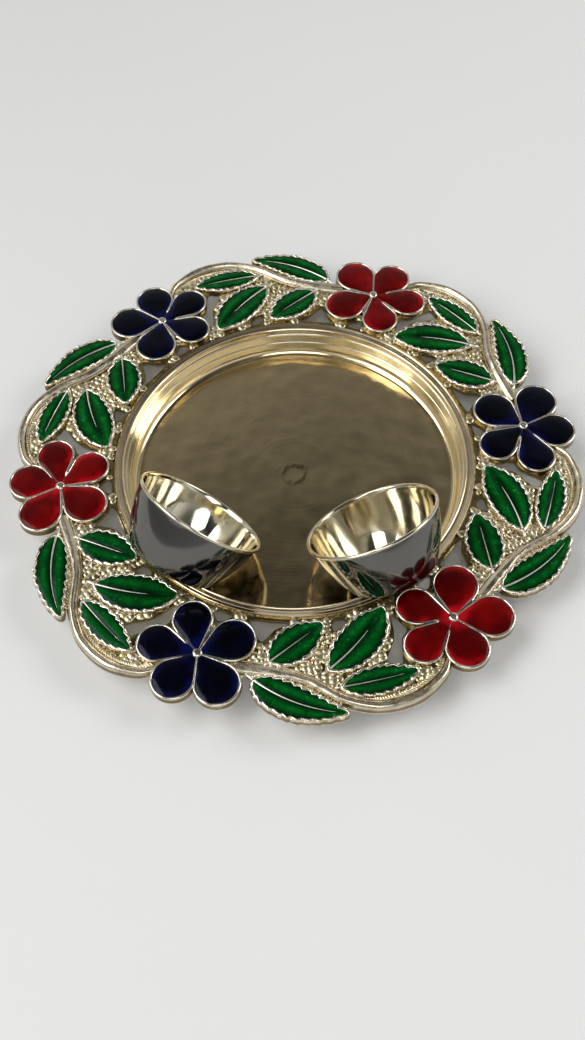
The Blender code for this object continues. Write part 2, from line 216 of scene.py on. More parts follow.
# slow unevenness over the thali, from about -1 to 1
def waver(place, often, seed):
    return noise.noise(Vector((place.x * often, place.y * often, seed)))


def clamped(value):
    return min(1.0, max(0.0, value))


def smoothStep(low, high, value):
    share = clamped((value - low) / (high - low))
    return share * share * (3 - 2 * share)


# a smooth line through some points, either closed or open
def smoothThrough(points, steps, closed=True):
    padded = points[-1:] + points + points[:2] if closed else points[:1] + points + points[-1:]
    line = []
    for before, start, end, after in zip(padded, padded[1:], padded[2:], padded[3:]):
        for step in range(steps):
            t = step / steps
            line.append(
                start
                + (end - before) * (t / 2)
                + (before * 2 - start * 5 + end * 4 - after) * (t * t / 2)
                + (start * 3 - before - end * 3 + after) * (t * t * t / 2)
            )
    return line if closed else line + points[-1:]


# unit directions that point out of a closed anticlockwise line
def outwardsOf(line):
    directions = []
    for before, point, after in zip(line[-1:] + line, line, line[1:] + line[:1]):
        ahead = (point - before).normalized() + (after - point).normalized()
        directions.append(-leftOf(ahead.normalized()))
    return directions


# places on part of an ellipse, from one angle to another
def arcPlaces(centre, sizes, first, last, steps):
    turns = [radians(first + (last - first) * step / steps) for step in range(steps + 1)]
    return [(centre[0] + sizes[0] * cos(turn), centre[1] + sizes[1] * sin(turn)) for turn in turns]


def distanceTo(line, point):
    nearest = 1e9
    for index, end in enumerate(line):
        start = line[index - 1]
        side = end - start
        share = clamped((point - start).dot(side) / max(1e-9, side.length_squared))
        nearest = min(nearest, (point - start - side * share).length)
    return nearest


print("stage: layout ready")


# Petals: each one's direction in degrees, how far the middle of its round end is from the flower's middle, and
# the radius of that end
petals = {
    "a": (54.0, 13.0, 7.2),
    "b": (-19.0, 11.9, 6.8),
    "c": (-84.5, 14.4, 6.3),
    "d": (-148.5, 13.2, 6.3),
    "e": (134.0, 12.7, 7.2),
    "dividerHalf": 0.3,
    "wallWidth": 0.9,
    "arcSteps": 46,
    "sideSteps": 12,
    "innerStop": 1.3,        # where the sides end, under the boss
    "sinksBetween": ("bc", "cd"),    # dividers that the glass covers near the middle
    "sinkFrom": 6.6,
    "sinkTo": 4.2,
    "sinkDepth": 0.62,
    "dividerDrop": 0.06,
    "edgeDrop": 0.42,        # how far the wall's outer edge is rounded down
    "glassEdge": 0.42,       # below the wall's top
    "glassDome": 0.5,
    "domeSteps": 9,
}


def petalSpread(petal):
    degrees, reach, radius = petals[petal]
    return math.degrees(math.asin((radius + petals["dividerHalf"]) / reach))


# the neighbour on a side, and half the angle of the wedge between the two
def petalNeighbour(petal, side):
    neighbour = "abcde"[("abcde".index(petal) - side) % 5]
    gap = (petals[neighbour][0] - petals[petal][0]) * side % 360
    return neighbour, (gap - petalSpread(petal) - petalSpread(neighbour)) / 2


# places along a petal's cell from the middle out, round the end and back, each with the way out, the wall's
# width, how rounded its outer edge is, and how far it has sunk
def petalCourse(petal):
    degrees, reach, radius = petals[petal]
    spread = petalSpread(petal)
    middle = Vector((thali["flowerRadius"], 0))
    centre = middle + polar(reach, degrees)
    run = reach * cos(radians(spread))
    halfTurn = 90 + spread
    course = []

    def toBisector(side, distance):
        wedge = radians(petalNeighbour(petal, side)[1])
        return petals["dividerHalf"] * cos(wedge) + distance * sin(wedge)

    def sidePlace(side, distance):
        outwards = polar(1, degrees + side * halfTurn)
        along = polar(1, degrees + side * spread)
        place = centre + outwards * radius - along * (run - distance)
        pair = "".join(sorted(petal + petalNeighbour(petal, side)[0]))
        sunk = 0.0
        if pair in petals["sinksBetween"]:
            sunk = 1 - smoothStep(petals["sinkTo"], petals["sinkFrom"], distance)
        course.append((place, outwards, toBisector(side, distance) + 0.02, 0.0, sunk))

    sideRuns = [
        petals["innerStop"] + (run - petals["innerStop"]) * step / petals["sideSteps"]
        for step in range(petals["sideSteps"])
    ]
    for distance in sideRuns:
        sidePlace(-1, distance)
    for step in range(petals["arcSteps"] + 1):
        turn = -halfTurn + 2 * halfTurn * step / petals["arcSteps"]
        side = 1 if turn > 0 else -1
        past = radians(halfTurn - abs(turn))
        room = toBisector(side, run) + radius * (1 - cos(past)) / max(0.2, cos(past / 2))
        width = min(petals["wallWidth"], room + 0.02)
        rounded = smoothStep(0.45, 1.3, room)
        outwards = polar(1, degrees + turn)
        course.append((centre + outwards * radius, outwards, width, rounded, 0.0))
    for distance in reversed(sideRuns):
        sidePlace(1, distance)
    return course


# a petal's wall: rounded on top, plain at the side, and a thin rolled edge at the foot
def petalWallPiece(petal):
    base, ground = thali["feet"]["petal"], thali["ground"]
    rows = []
    for place, outwards, width, rounded, sunk in petalCourse(petal):
        top = thali["petalTop"] - petals["dividerDrop"] * (1 - rounded) - petals["sinkDepth"] * sunk
        drop = petals["edgeDrop"] * rounded
        section = [
            (0.0, base), (0.0, top - 0.46), (0.07 * width, top - 0.2), (0.22 * width, top - 0.05),
            (0.45 * width, top), (0.7 * width, top - 0.12 * drop), (0.9 * width, top - 0.5 * drop),
            (width, top - 1.1 * drop), (width - 0.04, ground + 0.2), (width - 0.08, base + 1.0),
            (width + 0.02 * rounded, base + 0.86), (width + 0.07 * rounded, base + 0.6),
            (width + 0.06 * rounded, base + 0.25), (width - 0.08, base), (0.0, base),
        ]
        wave = 0.03 * waver(place, 0.45, 3.0) * rounded
        rows.append([beside(place, outwards, out + wave, level) for out, level in section])
    rows.append(rows[0])
    return rolledSheet("petalWall_" + petal, rows, 50)


# the glass of a petal: its edge runs under the wall's rounding, and its middle is domed
def petalGlassPiece(petal):
    degrees, reach, radius = petals[petal]
    middle = Vector((thali["flowerRadius"], 0))
    axis = polar(1, degrees)
    edge = thali["petalTop"] - petals["glassEdge"]
    rim, spine = [], []
    for place, outwards, width, rounded, sunk in petalCourse(petal):
        grown = place + outwards * (0.1 + (width - 0.1) * sunk)
        rim.append(grown)
        along = min(reach, max(petals["innerStop"] + 1.2, (place - middle).dot(axis)))
        spine.append(middle + axis * along)
    floor = thali["ground"] + thali["underGlass"]
    under = ((spine, floor), (rim, floor), (rim, edge - 0.12))
    rows = [[(*point, level) for point in line] for line, level in under]
    for step in range(petals["domeSteps"] + 1):
        share = step / petals["domeSteps"]
        inwards = 0.02 + 0.98 * share ** 1.25
        row = []
        for point, target in zip(rim, spine):
            place = point.lerp(target, inwards)
            fromMiddle = (target - middle).length / reach
            swell = petals["glassDome"] * (0.35 + 0.65 * fromMiddle)
            ripple = 0.035 * share * waver(place, 0.3, ord(petal))
            row.append((place.x, place.y, edge + swell * (1 - (1 - share) ** 2.2) + ripple))
        rows.append(row)
    closed = [row + [row[0]] for row in rows]
    piece = rolledSheet("petalGlass_" + petal, closed, 60)
    # how near each spot is to the wall, and how far out from the flower's middle, for the painted glow in the
    # glass
    markCorners(piece, "petalEdge", lambda spot: 1 - min(1.0, distanceTo(rim, spot.xy) / radius))
    markCorners(piece, "petalReach", lambda spot: (spot.xy - middle).length / (reach + radius))
    return piece


# Leaves: stalk and tip, each as a distance past the ring and degrees past the flower, then the bend of the
# midrib to the left, half the width, and the widest place along the leaf
leaves = {
    "a": ((22.7, 13.3), (35.1, 31.4), -2.6, 5.3, 0.38),
    "b": ((15.7, 16.2), (2.1, 29.3), 0.0, 5.9, 0.47),
    "c": ((19.1, 29.3), (2.4, 46.8), -1.4, 6.6, 0.51),
    "d": ((25.9, 31.4), (27.7, 46.5), -0.4, 4.4, 0.48),
    "fullness": 1.5,
    "steps": 44,
    "wallWidths": {"a": 1.25, "b": 1.5, "c": 1.5, "d": 1.5},
    "tooth": 0.85,
    "toothLength": 3.3,
    "glassUnderWall": 0.55,
    "glassEdge": 0.42,
    "pillow": 0.38,
    "acrossSteps": 16,
    "ribs": {"a": (0.84, 0.5), "b": (0.72, 0.42), "c": (0.62, 0.52), "d": (0.8, 0.34)},   # end, half width
    "ribOverGlass": 0.36,
    "ribSteps": 16,
}


def midribAt(leaf, along):
    stalk, tip, bend = leaves[leaf][:3]
    start = pastRing(*stalk)
    chord = pastRing(*tip) - start
    across = leftOf(chord.normalized())
    place = start + chord * along + across * bend * 4 * along * (1 - along)
    slope = chord + across * bend * 4 * (1 - 2 * along)
    return place, leftOf(slope.normalized())


def halfWidthAt(leaf, along):
    *ends, halfWidth, widest = leaves[leaf]
    along = clamped(along)
    roundEnd = leaves["fullness"] * widest
    sharpEnd = leaves["fullness"] * (1 - widest)
    peak = widest ** roundEnd * (1 - widest) ** sharpEnd
    return halfWidth * along ** roundEnd * (1 - along) ** sharpEnd / peak


# closer together at the stalk and the tip, where the leaf turns
def leafShare(step):
    share = step / leaves["steps"]
    return 0.5 * share + 0.25 * (1 - cos(pi * share))


def leafLine(leaf):
    right, left = [], []
    for step in range(1, leaves["steps"]):
        place, across = midribAt(leaf, leafShare(step))
        right.append(place - across * halfWidthAt(leaf, leafShare(step)))
        left.append(place + across * halfWidthAt(leaf, leafShare(step)))
    return [midribAt(leaf, 0)[0]] + right + [midribAt(leaf, 1)[0]] + left[::-1]


# a saw tooth that leans towards the tip, from 0 to 1
def toothAt(leaf, place, seed):
    stalk = midribAt(leaf, 0)[0]
    chord = midribAt(leaf, 1)[0] - stalk
    run = (place - stalk).dot(chord.normalized()) / leaves["toothLength"]
    run += 0.35 * waver(place, 0.2, seed)
    share = run % 1.0
    fade = smoothStep(0.02, 0.16, (place - stalk).dot(chord) / chord.length_squared)
    deep = min(1.1, 0.85 + 0.7 * waver(place, 0.17, seed + 5.0))
    return min(share / 0.7, (1 - share) / 0.3) ** 0.9 * fade * deep


# a leaf's wall: scalloped on both sides and uneven on top, as if chased by hand
def leafWallPiece(leaf):
    base, ground, level = thali["feet"]["leaf"], thali["ground"], thali["leafTop"]
    line = smoothThrough(leafLine(leaf), 2)
    rows = []
    for place, outwards in zip(line, outwardsOf(line)):
        tooth = toothAt(leaf, place, ord(leaf))
        knob = waver(place, 0.55, 7.0 + ord(leaf))
        inner = leaves["tooth"] * (tooth - 0.6)
        width = leaves["wallWidths"][leaf] + 0.4 * (tooth - 1) + 0.1 * min(0.0, knob)
        top = level + 0.16 * knob + 0.14 * (tooth - 0.5)
        crest = inner + 0.4 + 0.1 * knob
        section = [
            (inner, base), (inner, top - 0.55), (inner + 0.07, top - 0.28), (inner + 0.2, top - 0.08),
            (crest, top), (0.62 * crest + 0.38 * width, top - 0.09), (0.36 * crest + 0.64 * width, top - 0.32),
            (0.14 * crest + 0.86 * width, top - 0.66), (width, top - 1.1), (width + 0.02, ground + 0.1),
            (width - 0.02, base + 1.0), (width + 0.1, base + 0.7), (width + 0.1, base + 0.25),
            (width - 0.08, base), (inner, base),
        ]
        rows.append([beside(place, outwards, out, high) for out, high in section])
    rows.append(rows[0])
    return rolledSheet("leafWall_" + leaf, rows, 55)


# the glass of a leaf: two pillowed lobes that meet in a groove on the midrib
def leafGlassPiece(leaf):
    floor = thali["ground"] + thali["underGlass"]
    edge = thali["leafTop"] - leaves["glassEdge"]
    count = leaves["acrossSteps"]
    rows = []
    for step in range(leaves["steps"] + 1):
        along = leafShare(step)
        place, across = midribAt(leaf, along)
        half = halfWidthAt(leaf, along) + leaves["glassUnderWall"] * sin(pi * along) ** 0.3
        swell = leaves["pillow"] * min(1.0, half / leaves[leaf][3])
        row = []
        for column in range(count + 1):
            share = 2 * column / count - 1
            point = place + across * share * half
            lift = swell * sin(pi * min(1.0, abs(share)) ** 0.9)
            ripple = 0.03 * waver(point, 0.7, ord(leaf))
            row.append((point.x, point.y, edge + lift + ripple * (1 - abs(share))))
        under = [(row[-1][0], row[-1][1], floor), (row[0][0], row[0][1], floor)]
        rows.append(row + under + [row[0]])
    stalk, tip = midribAt(leaf, 0)[0], midribAt(leaf, 1)[0]
    piece = closedSheet("leafGlass_" + leaf, stalk, rows, tip, edge - 0.1, 60)

    # how far each spot is across and along the leaf, for the painted lobe shading and the lighter tip in the
    # glass
    def alongAt(spot):
        return clamped((spot.xy - stalk).dot(tip - stalk) / (tip - stalk).length_squared)

    def acrossAt(spot):
        place, across = midribAt(leaf, alongAt(spot))
        half = halfWidthAt(leaf, alongAt(spot)) + leaves["glassUnderWall"]
        return (spot.xy - place).dot(across) / half

    markCorners(piece, "leafAcross", acrossAt)
    markCorners(piece, "leafAlong", alongAt)
    return piece


# the raised midrib, a wire that thins out before the tip
def ribPiece(leaf):
    edge = thali["leafTop"] - leaves["glassEdge"]
    end, halfWidth = leaves["ribs"][leaf]
    section = ((-1, -0.8), (-1, 0), (-0.7, 0.7), (0, 1), (0.7, 0.7), (1, 0), (1, -0.8), (-1, -0.8))
    rows = []
    for step in range(leaves["ribSteps"] + 1):
        share = step / leaves["ribSteps"]
        along = -0.09 + (end + 0.12) * share
        place, across = midribAt(leaf, along)
        half = halfWidth * (1.1 - 0.9 * share ** 0.8)
        rise = leaves["ribOverGlass"] * (1 - 0.75 * share ** 3)
        rows.append([beside(place, across, out * half, edge - 0.06 + rise * up) for out, up in section])
    root, tail = midribAt(leaf, -0.1)[0], midribAt(leaf, end + 0.06)[0]
    return closedSheet("rib_" + leaf, root, rows, tail, edge, 70)


# Branch: places along its middle line as a distance past the ring and degrees past the flower, with the share
# of its full thickness, and how far the ground reaches past the line
branch = {
    "course": (
        (18.8, 8.6, 0.7, 1.6), (19.1, 17.7, 0.9, 5.0), (22.2, 24.7, 1.0, 5.2), (29.9, 31.3, 1.0, 2.6),
        (34.9, 37.7, 1.0, 1.9), (35.8, 44.6, 1.0, 1.9), (32.8, 50.7, 0.8, 1.6), (28.6, 53.6, 0.6, 1.3),
    ),
    "radius": 2.0,
    "rise": 2.1,
    "sunk": 0.15,            # how far below the ground its sides start
    # its cross-section, outwards from the side by the dish: a thin low ridge, a groove and the round stem
    "section": (
        (-1.0, 0.0), (-0.99, 0.34), (-0.94, 0.5), (-0.87, 0.55), (-0.8, 0.5), (-0.74, 0.38), (-0.69, 0.37),
        (-0.62, 0.5), (-0.5, 0.66), (-0.34, 0.81), (-0.14, 0.93), (0.08, 0.99), (0.28, 1.0), (0.47, 0.95),
        (0.64, 0.84), (0.79, 0.67), (0.91, 0.42), (1.0, 0.0),
    ),
    "rootSpread": 0.85,      # how much wider it is where it leaves the flower
    "flutes": 0.09,
    "stepsEach": 12,
}


def branchLine():
    knots = [
        Vector((*pastRing(distance, degrees), thickness))
        for distance, degrees, thickness, reach in branch["course"]
    ]
    return smoothThrough(knots, branch["stepsEach"], closed=False)


def branchAcross(line, index):
    before, after = line[max(0, index - 1)], line[min(len(line) - 1, index + 1)]
    return leftOf(Vector((after.x - before.x, after.y - before.y)).normalized())


# the stem between two flowers, with ridges along it
def branchPiece():
    base, ground = thali["feet"]["branch"], thali["ground"]
    line = branchLine()
    rows = []
    for index, knot in enumerate(line):
        across = branchAcross(line, index)
        spread = 1 - smoothStep(0.0, 0.3, index / len(line))
        radius = branch["radius"] * knot.z * (1 + branch["rootSpread"] * spread)
        rise = branch["rise"] * knot.z
        row = []
        for out, up in branch["section"]:
            uneven = 1 + 0.05 * waver(knot, 0.35, out * 2.2)
            up += branch["flutes"] * spread * cos(out * 11) * (1 - out * out)
            level = ground - branch["sunk"] + up * (rise + branch["sunk"]) * uneven
            row.append(beside(knot, across, -out * radius * uneven, level))
        foot = [
            (radius, ground - 0.6), (radius * 0.97, base + 0.8), (radius + 0.02, base + 0.52),
            (radius + 0.02, base + 0.2), (radius * 0.93, base), (-radius * 0.9, base),
        ]
        row += [beside(knot, across, -out, level) for out, level in foot]
        rows.append(row + [row[0]])
    return closedSheet("branch", line[0], rows, line[-1], ground - 0.5, 60)


print("stage: petals, leaves and branch described")


# Ground of the casting: openings through it, as distances past the ring and degrees past the flower
openings = {
    "outlines": (
        ((0.4, 9.5), (0.4, 20.4), (3.2, 16.7), (8.2, 13.5), (3.6, 11.0)),
        ((0.6, 35.2), (2.7, 36.4), (5.0, 32.5), (1.4, 32.4)),
        ((5.2, 48.4), (12.2, 49.8), (15.3, 47.3), (23.0, 44.8), (21.1, 41.8), (13.2, 46.0)),
        ((0.4, -1.2), (0.4, 4.4), (4.2, 1.0)),
    ),
    "reachAtFlower": 18.3,   # how far the ground reaches past the ring at each flower
}


def openingLines():
    return [smoothThrough([pastRing(*place) for place in outline], 5) for outline in openings["outlines"]]


def groundLine(sector):
    start = thali["sector"] * sector
    points = [pastRing(openings["reachAtFlower"], start)]
    for distance, degrees, thickness, reach in branch["course"]:
        points.append(pastRing(distance + reach, start + degrees))
    return points


def groundPlate():
    line = [place for sector in range(thali["flowers"]) for place in groundLine(sector)]
    plate = slabFrom("groundPlate", smoothThrough(line, 4), thali["castingBase"], thali["ground"])
    hole = [polar(thali["ringRadius"] - 0.7, 1.5 + 3 * step) for step in range(120)]
    cutters = [slabFrom("cutter", hole, 5, 20)]
    for outline in openingLines():
        cutter = slabFrom("cutter", outline, 5, 20)
        for sector in range(1, thali["flowers"]):
            cutters.append(turnRound(copyOf(cutter, "cutter"), thali["sector"] * sector))
        cutters.append(cutter)
    cutting = joinAll(cutters, "cutting")
    pickOnly(plate)
    cut = plate.modifiers.new("openings", "BOOLEAN")
    cut.operation, cut.solver = "DIFFERENCE", "EXACT"
    cut.object = cutting
    cut.use_self = True
    bpy.ops.object.modifier_apply(modifier=cut.name)
    bpy.data.objects.remove(cutting)
    return turnRound(weld(plate, 40, False), thali["firstFlower"])


# the floor of each cell under its glass, and of the flower's middle under its button
def cellFloors():
    foot, top = thali["feet"]["cell"], thali["ground"] + 0.02
    floors = []
    for petal in "abcde":
        outline = [place + outwards * 0.05 for place, outwards, *rest in petalCourse(petal)]
        floors.append(slabFrom("petalFloor", outline, foot, top))
    for leaf in "abcd":
        line = smoothThrough(leafLine(leaf), 1)
        outline = [place + outwards * 0.5 for place, outwards in zip(line, outwardsOf(line))]
        floors.append(slabFrom("leafFloor", outline, foot, top))
    middle = Vector((thali["flowerRadius"], 0))
    hub = [middle + polar(boss["radius"] * 1.3, 15 * step) for step in range(24)]
    floors.append(slabFrom("hubFloor", hub, thali["feet"]["hub"], top))
    return sixRound(floors, "cellFloors")


# Grains: the lumps that cover the ground between the leaves, and the strokes chased beside the branch
grains = {
    "spacing": 2.15,
    "smallest": 1.1,
    "largest": 1.9,
    "offWalls": 1.3,
    "offOpenings": 0.2,
    "offBranch": 2.1,
    "onWallSpacing": 3.1,
    "rowsReach": 42,         # how far out the rows of lumps go
    "leafAStarts": 29,       # degrees past the flower from which leaf a takes the room outside the branch
    # round beads in the valleys between two leaves, as distances past the ring and degrees past the flower
    "valley": (
        (18.9, 37.7, 0.8), (19.4, 35.6, 0.7), (20.5, 33.8, 0.85), (20.7, 31.7, 0.9), (20.8, 30.0, 0.75),
        (6.8, 30.3, 0.95), (8.5, 29.5, 0.7), (10.2, 28.7, 0.9), (12.0, 27.6, 0.75), (14.1, 26.4, 1.1),
    ),
    "strokeSpacing": 0.78,
    "strokeLength": 2.6,
    "strokeWidth": 0.5,
    "strokeSlant": 38,       # degrees from straight across the branch
    "firstStroke": 8,        # steps along the branch before the first stroke
    "strokesCross": 31.5,    # degrees past the flower where the strokes change sides
    "seed": 11,
}


def isInside(line, point):
    inside = False
    for index, end in enumerate(line):
        start = line[index - 1]
        if (start.y > point.y) != (end.y > point.y):
            crossing = start.x + (point.y - start.y) / (end.y - start.y) * (end.x - start.x)
            if point.x < crossing:
                inside = not inside
    return inside


# the petals' and leaves' cells of this sector and its neighbours, each with a circle round it
def cellLines():
    cells = []
    for turn in (-1, 0, 1):
        spin = Matrix.Rotation(radians(thali["sector"] * turn), 2)
        lines = [[entry[0] for entry in petalCourse(petal)][::2] for petal in "abcde"]
        lines += [leafLine(leaf)[::3] for leaf in "abcd"]
        for line in lines:
            turned = [spin @ place for place in line]
            centre = sum(turned, Vector((0, 0))) / len(turned)
            cells.append((turned, centre, max((place - centre).length for place in turned)))
    return cells


def isOffWalls(cells, place, gap):
    for line, centre, reach in cells:
        isNear = (place - centre).length < reach + gap
        if isNear and (isInside(line, place) or distanceTo(line, place) < gap):
            return False
    return True


# where each lump stands, its half sizes, its turn and how high it sits
def groundLumps(cells, chance):
    holes = openingLines()
    stem = [knot.xy for knot in branchLine()[::4]]
    sector = thali["sector"]
    outside = smoothThrough(groundLine(0) + groundLine(1)[:1], 4, closed=False)
    edge = [pastRing(0, 0)] + outside + [pastRing(0, sector)]
    lumps = []
    rowStep = grains["spacing"] * 0.87
    for row in range(int(grains["rowsReach"] / rowStep)):
        radius = thali["ringRadius"] + 0.45 + row * rowStep
        count = int(radians(sector) * radius / grains["spacing"])
        for column in range(count):
            place = polar(radius, sector * (column + (0.5 if row % 2 else 0.0)) / count)
            place += Vector((chance.uniform(-0.3, 0.3), chance.uniform(-0.3, 0.3)))
            size = chance.uniform(grains["smallest"], grains["largest"])
            lift = chance.uniform(-0.15, 0.1)
            turn = chance.uniform(0, math.tau)
            if not isInside(edge, place) or any(isInside(hole, place) for hole in holes):
                continue
            if any(distanceTo(hole, place) < grains["offOpenings"] + size * 0.5 for hole in holes):
                continue
            knot = min(stem, key=lambda spot: (place - spot).length)
            pastLeafA = directionOf(knot) > grains["leafAStarts"] and place.length > knot.length
            if (place - knot).length < grains["offBranch"] or pastLeafA:
                continue
            if isOffWalls(cells, place, grains["offWalls"]):
                lumps.append((place, (size * 1.15, size * 0.9, size * 0.33), turn, lift))
    for distance, degrees, size in grains["valley"]:
        turn = chance.uniform(0, math.tau)
        lumps.append((pastRing(distance, degrees), (size, size * 0.9, size), turn, 0.1))
    return lumps


# lumps along the leaves' walls
def wallLumps(chance):
    lumps = []
    for leaf in "abcd":
        line = smoothThrough(leafLine(leaf), 2)
        run = 0.0
        for index, (place, outwards) in enumerate(zip(line, outwardsOf(line))):
            run += (place - line[index - 1]).length if index else 0
            if run < grains["onWallSpacing"]:
                continue
            run = chance.uniform(-0.9, 0.9)
            size = chance.uniform(0.5, 0.85)
            turn = math.atan2(outwards.y, outwards.x) + pi / 2
            spot = place + outwards * chance.uniform(0.55, 0.95)
            lift = thali["leafTop"] - thali["ground"] - size * 0.95
            lumps.append((spot, (size * 1.2, size * 0.8, size), turn, lift))
    return lumps


# slanting strokes from the branch to the leaf beside it, outside it at first and inside it further on
def chasedStrokes(cells, chance):
    line = branchLine()
    lumps = []
    run = 0.0
    for index in range(1, len(line)):
        knot = line[index]
        run += (knot - line[index - 1]).xy.length
        if run < grains["strokeSpacing"] or index < grains["firstStroke"]:
            continue
        run = 0.0
        across = branchAcross(line, index)
        outside = directionOf(knot) < grains["strokesCross"]
        side = -across if outside else across
        slant = radians(grains["strokeSlant"]) * (-1 if outside else 1)
        heading = Matrix.Rotation(slant, 2) @ side
        start = knot.xy + side * branch["radius"] * knot.z * 0.86
        length = 0.0
        while length < grains["strokeLength"] and isOffWalls(cells, start + heading * length, 0.5):
            length += 0.2
        if length < 0.5:
            continue
        middle = start + heading * length / 2
        size = (length / 2 + 0.2, grains["strokeWidth"] * chance.uniform(0.8, 1.15), 0.5)
        lumps.append((middle, size, math.atan2(heading.y, heading.x), chance.uniform(0.0, 0.12)))
    return lumps


# one bead, cut flat where it stands on the ground
def grainPiece():
    clearSelection()
    bpy.ops.mesh.primitive_uv_sphere_add(segments=10, ring_count=7, radius=mm)
    bead = nameIt(bpy.context.object, "grain")
    editAll()
    bpy.ops.mesh.bisect(plane_co=(0, 0, -0.4 * mm), plane_no=(0, 0, 1), clear_inner=True, use_fill=True)
    return weld(bead, 70)


def grainBed():
    bead = grainPiece()
    chance = random.Random(grains["seed"])
    cells = cellLines()
    lumps = groundLumps(cells, chance) + wallLumps(chance) + chasedStrokes(cells, chance)
    beads = []
    for place, (long, wide, high), turn, lift in lumps:
        twin = copyOf(bead, "grain")
        stand = Matrix.Translation(Vector((place.x, place.y, thali["ground"] + lift)) * mm)
        grow = Matrix.Diagonal((long, wide, high, 1.0))
        twin.data.transform(stand @ Matrix.Rotation(turn, 4, "Z") @ grow)
        beads.append(twin)
    bpy.data.objects.remove(bead)
    print("stage:", len(beads), "lumps and strokes in each sector")
    return sixRound(beads, "grains")


# Boss: the button in the middle of each flower
boss = {
    "radius": 1.8,
    "rise": 2.4,
    "steps": 32,
}


def bossPiece():
    radius, ground = boss["radius"], thali["ground"]
    top = ground + boss["rise"]
    profile = [
        (0, ground), (radius * 0.98, ground), (radius, top - 0.95), (radius * 0.98, top - 0.6),
        (radius * 0.88, top - 0.25), (radius * 0.68, top - 0.05), (radius * 0.42, top),
        (radius * 0.2, top - 0.03), (0, top - 0.04),
    ]
    button = spunFrom("boss", profile, boss["steps"], 60)
    for vertex in button.data.vertices:
        uneven = 1 + 0.05 * noise.noise(vertex.co * 700)
        vertex.co.x *= uneven
        vertex.co.y *= uneven
        vertex.co.x += thali["flowerRadius"] * mm
    return sixRound([button], "bosses")


# Seat: the ring that the dish's rim lies over
def seatRing():
    inside, outside = thali["ringInside"], thali["ringRadius"]
    top, base = thali["ringTop"], thali["feet"]["ring"]
    profile = [
        (inside, base), (inside, top - 0.1), (inside + 0.1, top), (outside - 0.3, top),
        (outside - 0.08, top - 0.08), (outside, top - 0.3), (outside, base + 0.1), (outside - 0.1, base),
    ]
    return spunFrom("seatRing", profile, 180)


# the casting's pieces, each with its finish
casting = (
    (groundPlate(), "cast"),
    (cellFloors(), "cast"),
    (sixRound([petalWallPiece(petal) for petal in "abcde"], "petalWalls"), "petalWall"),
    (sixRound([leafWallPiece(leaf) for leaf in "abcd"], "leafWalls"), "leafWall"),
    (sixRound([ribPiece(leaf) for leaf in "abcd"], "midribs"), "midrib"),
    (sixRound([branchPiece()], "branches"), "branch"),
    (grainBed(), "grain"),
    (bossPiece(), "petalWall"),
    (seatRing(), "cast"),
)
print("stage: casting made,", sum(len(piece.data.polygons) for piece, finish in casting), "faces")

# every cell's glass, one piece for each of the frame's
glassPieces = {"blue": [], "red": [], "green": []}
petalShapes = {petal: petalGlassPiece(petal) for petal in "abcde"}
leafShapes = {leaf: leafGlassPiece(leaf) for leaf in "abcd"}
for flower in range(thali["flowers"]):
    colour = "blue" if flower % 2 == 0 else "red"
    for petal, shape in petalShapes.items():
        piece = turnRound(copyOf(shape, f"flower{flower + 1}Glass{petal.upper()}"), flowerAngle(flower))
        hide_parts(f"flower_{flower + 1}_petal_{petal}")
        glassPieces[colour].append(piece)
    for leaf, shape in leafShapes.items():
        piece = turnRound(copyOf(shape, f"spray{flower + 1}Glass{leaf.upper()}"), flowerAngle(flower))
        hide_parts(f"spray_{flower + 1}_leaf_{leaf}")
        glassPieces["green"].append(piece)
for shape in list(petalShapes.values()) + list(leafShapes.values()):
    bpy.data.objects.remove(shape)
print("stage: glass poured")


# Dish: spun sheet with a flat floor, a cove, a leaning wall with two beads, and a grooved rim
dish = {
    "lipRadius": 63.5,
    "depth": 10.8,
    "sheet": 0.9,
    "rimWidth": 3.5,
    "wallLean": 1.9,
    "coveHeight": 3.1,
    "coveWidth": 2.9,
    "coveSteps": 8,
    "beads": ((4.9, 0.26), (8.6, 0.42)),     # height over the floor, radius
    "beadSteps": 6,
    # the rim, as distances past the lip and levels: an inner line, a trough, a band and a groove
    "rim": (
        (-0.12, -0.45), (0.0, -0.12), (0.2, 0.02), (0.42, -0.04), (0.6, -0.24), (0.95, -0.3), (1.4, -0.24),
        (1.75, -0.08), (1.95, -0.06), (2.12, -0.2), (2.3, -0.2), (2.5, -0.1),
    ),
    # the outer bead, the same from the rim's edge
    "edge": (
        (-0.74, -0.02), (-0.5, 0.06), (-0.3, 0.12), (-0.1, -0.03), (0.0, -0.4), (-0.08, -0.82), (-0.25, -0.9),
    ),
    "spinSteps": 192,
}


def dishWallRadius(height):
    foot = dish["lipRadius"] - dish["wallLean"]
    return foot + dish["wallLean"] * (height - dish["coveHeight"]) / (dish["depth"] - dish["coveHeight"])


